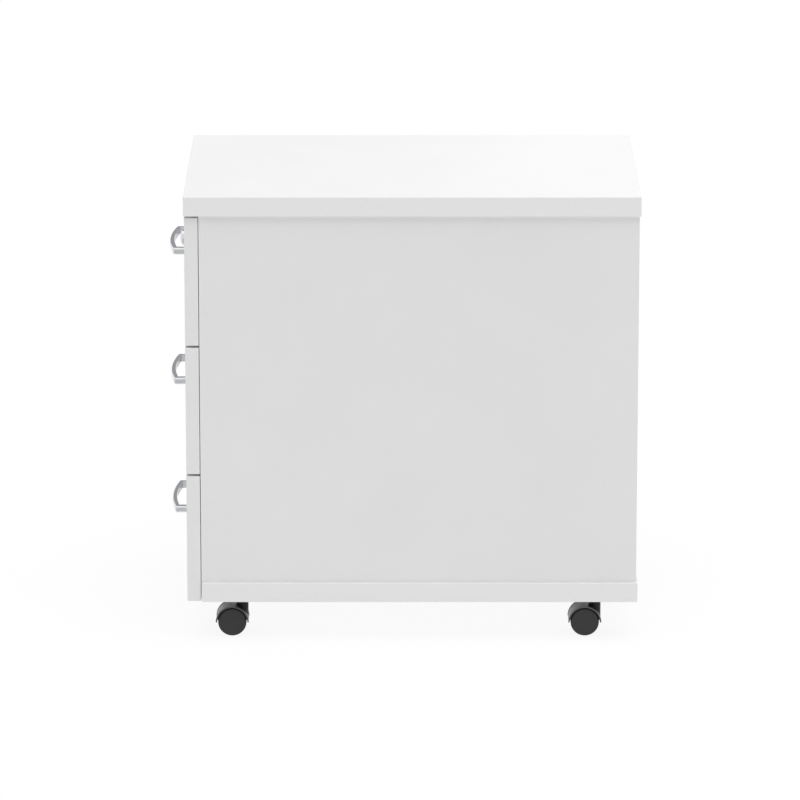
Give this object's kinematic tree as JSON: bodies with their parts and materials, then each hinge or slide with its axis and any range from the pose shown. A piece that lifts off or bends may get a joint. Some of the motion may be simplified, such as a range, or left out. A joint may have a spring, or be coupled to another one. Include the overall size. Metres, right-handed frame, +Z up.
{
  "type": "rolling pedestal cabinet",
  "caption": "White under-desk drawer pedestal on hooded twin-wheel swivel casters, with bow-handled drawers on roller runners and a cylinder lock that bars every drawer.",
  "frame": {"origin": "on the floor, under the middle of the object's box, handles included", "axes": "-Y out of the drawer fronts, +X to the right of someone facing them, +Z up"},
  "size_m": [0.404, 0.6256, 0.605],
  "materials": {
    "melamine": "white melamine facing on chipboard, fine matt grain, white edge band",
    "drawer_board": "white melamine facing on thin chipboard",
    "chrome": "bright chrome plate on die-cast zinc",
    "bare_steel": "bright steel",
    "zinc": "zinc-plated steel",
    "coated_steel": "white epoxy powder coat on folded sheet steel",
    "white_plastic": "moulded white acetal",
    "hood_plastic": "black moulded nylon, satin",
    "wheel_plastic": "black moulded nylon, matt",
    "beech": "fluted beech dowel"
  },
  "bodies": {
    "carcass": {"top_panel": "melamine", "base_panel": "melamine", "left_side_panel": "melamine", "right_side_panel": "melamine", "back_panel": "melamine", "cam_fittings": "zinc", "panel_dowels": "beech", "left_runner_rails": "coated_steel", "right_runner_rails": "coated_steel", "lock_bar_keepers": "white_plastic", "caster_plates": "zinc", "caster_screws": "zinc"},
    "drawer_1": {"drawer_1_front": "melamine", "drawer_1_left_side": "coated_steel", "drawer_1_right_side": "coated_steel", "drawer_1_bottom": "drawer_board", "drawer_1_back": "drawer_board", "drawer_1_handle": "chrome", "drawer_1_handle_screws": "zinc", "lock_housing": "chrome"},
    "drawer_1_rear_rollers": {"drawer_1_rear_rollers": "white_plastic"},
    "drawer_1_rail_rollers": {"drawer_1_rail_rollers": "white_plastic"},
    "drawer_2": {"drawer_2_front": "melamine", "drawer_2_left_side": "coated_steel", "drawer_2_right_side": "coated_steel", "drawer_2_bottom": "drawer_board", "drawer_2_back": "drawer_board", "drawer_2_handle": "chrome", "drawer_2_handle_screws": "zinc"},
    "drawer_2_rear_rollers": {"drawer_2_rear_rollers": "white_plastic"},
    "drawer_2_rail_rollers": {"drawer_2_rail_rollers": "white_plastic"},
    "drawer_3": {"drawer_3_front": "melamine", "drawer_3_left_side": "coated_steel", "drawer_3_right_side": "coated_steel", "drawer_3_bottom": "drawer_board", "drawer_3_back": "drawer_board", "drawer_3_handle": "chrome", "drawer_3_handle_screws": "zinc"},
    "drawer_3_rear_rollers": {"drawer_3_rear_rollers": "white_plastic"},
    "drawer_3_rail_rollers": {"drawer_3_rail_rollers": "white_plastic"},
    "lock_cylinder": {"lock_cylinder": "bare_steel", "lock_crank": "zinc"},
    "lock_bar": {"lock_bar": "bare_steel"},
    "caster_front_left": {"caster_front_left_hood": "hood_plastic", "caster_front_left_axle": "bare_steel"},
    "caster_front_left_left_wheel": {"caster_front_left_left_wheel": "wheel_plastic"},
    "caster_front_left_right_wheel": {"caster_front_left_right_wheel": "wheel_plastic"},
    "caster_front_right": {"caster_front_right_hood": "hood_plastic", "caster_front_right_axle": "bare_steel"},
    "caster_front_right_left_wheel": {"caster_front_right_left_wheel": "wheel_plastic"},
    "caster_front_right_right_wheel": {"caster_front_right_right_wheel": "wheel_plastic"},
    "caster_rear_left": {"caster_rear_left_hood": "hood_plastic", "caster_rear_left_axle": "bare_steel"},
    "caster_rear_left_left_wheel": {"caster_rear_left_left_wheel": "wheel_plastic"},
    "caster_rear_left_right_wheel": {"caster_rear_left_right_wheel": "wheel_plastic"},
    "caster_rear_right": {"caster_rear_right_hood": "hood_plastic", "caster_rear_right_axle": "bare_steel"},
    "caster_rear_right_left_wheel": {"caster_rear_right_left_wheel": "wheel_plastic"},
    "caster_rear_right_right_wheel": {"caster_rear_right_right_wheel": "wheel_plastic"}
  },
  "joints": [
    {"name": "drawer_1_slide", "type": "slide", "parent": "carcass", "child": "drawer_1", "axis": [0, -1, 0], "range_m": [0, 0.38]},
    {"name": "drawer_1_rear_rollers_spin", "type": "hinge", "parent": "drawer_1", "child": "drawer_1_rear_rollers", "pos_m": [0, 0.21375, 0.4473], "axis": [1, 0, 0], "range_deg": [0, 2292]},
    {"name": "drawer_1_rail_rollers_spin", "type": "hinge", "parent": "carcass", "child": "drawer_1_rail_rollers", "pos_m": [0, -0.22445, 0.4473], "axis": [1, 0, 0], "range_deg": [0, 2292]},
    {"name": "drawer_2_slide", "type": "slide", "parent": "carcass", "child": "drawer_2", "axis": [0, -1, 0], "range_m": [0, 0.38]},
    {"name": "drawer_2_rear_rollers_spin", "type": "hinge", "parent": "drawer_2", "child": "drawer_2_rear_rollers", "pos_m": [0, 0.21375, 0.2723], "axis": [1, 0, 0], "range_deg": [0, 2292]},
    {"name": "drawer_2_rail_rollers_spin", "type": "hinge", "parent": "carcass", "child": "drawer_2_rail_rollers", "pos_m": [0, -0.22445, 0.2723], "axis": [1, 0, 0], "range_deg": [0, 2292]},
    {"name": "drawer_3_slide", "type": "slide", "parent": "carcass", "child": "drawer_3", "axis": [0, -1, 0], "range_m": [0, 0.38]},
    {"name": "drawer_3_rear_rollers_spin", "type": "hinge", "parent": "drawer_3", "child": "drawer_3_rear_rollers", "pos_m": [0, 0.21375, 0.0973], "axis": [1, 0, 0], "range_deg": [0, 2292]},
    {"name": "drawer_3_rail_rollers_spin", "type": "hinge", "parent": "carcass", "child": "drawer_3_rail_rollers", "pos_m": [0, -0.22445, 0.0973], "axis": [1, 0, 0], "range_deg": [0, 2292]},
    {"name": "lock_turn", "type": "hinge", "parent": "drawer_1", "child": "lock_cylinder", "pos_m": [0.15, -0.28625, 0.54], "axis": [0, -1, 0], "range_deg": [0, 90]},
    {"name": "lock_bar_lift", "type": "slide", "parent": "carcass", "child": "lock_bar", "axis": [0, 0, 1], "range_m": [0, 0.008]},
    {"name": "caster_front_left_swivel", "type": "hinge", "parent": "carcass", "child": "caster_front_left", "pos_m": [-0.162, -0.21395, 0.054], "axis": [0, 0, 1], "continuous": true},
    {"name": "caster_front_left_left_wheel_spin", "type": "hinge", "parent": "caster_front_left", "child": "caster_front_left_left_wheel", "pos_m": [-0.162, -0.22745, 0.019], "axis": [1, 0, 0], "continuous": true},
    {"name": "caster_front_left_right_wheel_spin", "type": "hinge", "parent": "caster_front_left", "child": "caster_front_left_right_wheel", "pos_m": [-0.162, -0.22745, 0.019], "axis": [1, 0, 0], "continuous": true},
    {"name": "caster_front_right_swivel", "type": "hinge", "parent": "carcass", "child": "caster_front_right", "pos_m": [0.162, -0.21395, 0.054], "axis": [0, 0, 1], "continuous": true},
    {"name": "caster_front_right_left_wheel_spin", "type": "hinge", "parent": "caster_front_right", "child": "caster_front_right_left_wheel", "pos_m": [0.162, -0.22745, 0.019], "axis": [1, 0, 0], "continuous": true},
    {"name": "caster_front_right_right_wheel_spin", "type": "hinge", "parent": "caster_front_right", "child": "caster_front_right_right_wheel", "pos_m": [0.162, -0.22745, 0.019], "axis": [1, 0, 0], "continuous": true},
    {"name": "caster_rear_left_swivel", "type": "hinge", "parent": "carcass", "child": "caster_rear_left", "pos_m": [-0.162, 0.25725, 0.054], "axis": [0, 0, 1], "continuous": true},
    {"name": "caster_rear_left_left_wheel_spin", "type": "hinge", "parent": "caster_rear_left", "child": "caster_rear_left_left_wheel", "pos_m": [-0.162, 0.24375, 0.019], "axis": [1, 0, 0], "continuous": true},
    {"name": "caster_rear_left_right_wheel_spin", "type": "hinge", "parent": "caster_rear_left", "child": "caster_rear_left_right_wheel", "pos_m": [-0.162, 0.24375, 0.019], "axis": [1, 0, 0], "continuous": true},
    {"name": "caster_rear_right_swivel", "type": "hinge", "parent": "carcass", "child": "caster_rear_right", "pos_m": [0.162, 0.25725, 0.054], "axis": [0, 0, 1], "continuous": true},
    {"name": "caster_rear_right_left_wheel_spin", "type": "hinge", "parent": "caster_rear_right", "child": "caster_rear_right_left_wheel", "pos_m": [0.162, 0.24375, 0.019], "axis": [1, 0, 0], "continuous": true},
    {"name": "caster_rear_right_right_wheel_spin", "type": "hinge", "parent": "caster_rear_right", "child": "caster_rear_right_right_wheel", "pos_m": [0.162, 0.24375, 0.019], "axis": [1, 0, 0], "continuous": true}
  ],
  "couplings": [
    {"joint": "drawer_1_rear_rollers_spin", "follows": "drawer_1_slide", "rad_per_m": 105.26},
    {"joint": "drawer_1_rail_rollers_spin", "follows": "drawer_1_slide", "rad_per_m": 105.26},
    {"joint": "drawer_2_rear_rollers_spin", "follows": "drawer_2_slide", "rad_per_m": 105.26},
    {"joint": "drawer_2_rail_rollers_spin", "follows": "drawer_2_slide", "rad_per_m": 105.26},
    {"joint": "drawer_3_rear_rollers_spin", "follows": "drawer_3_slide", "rad_per_m": 105.26},
    {"joint": "drawer_3_rail_rollers_spin", "follows": "drawer_3_slide", "rad_per_m": 105.26},
    {"joint": "lock_turn", "follows": "lock_bar_lift", "rad_per_m": 196.35}
  ]
}
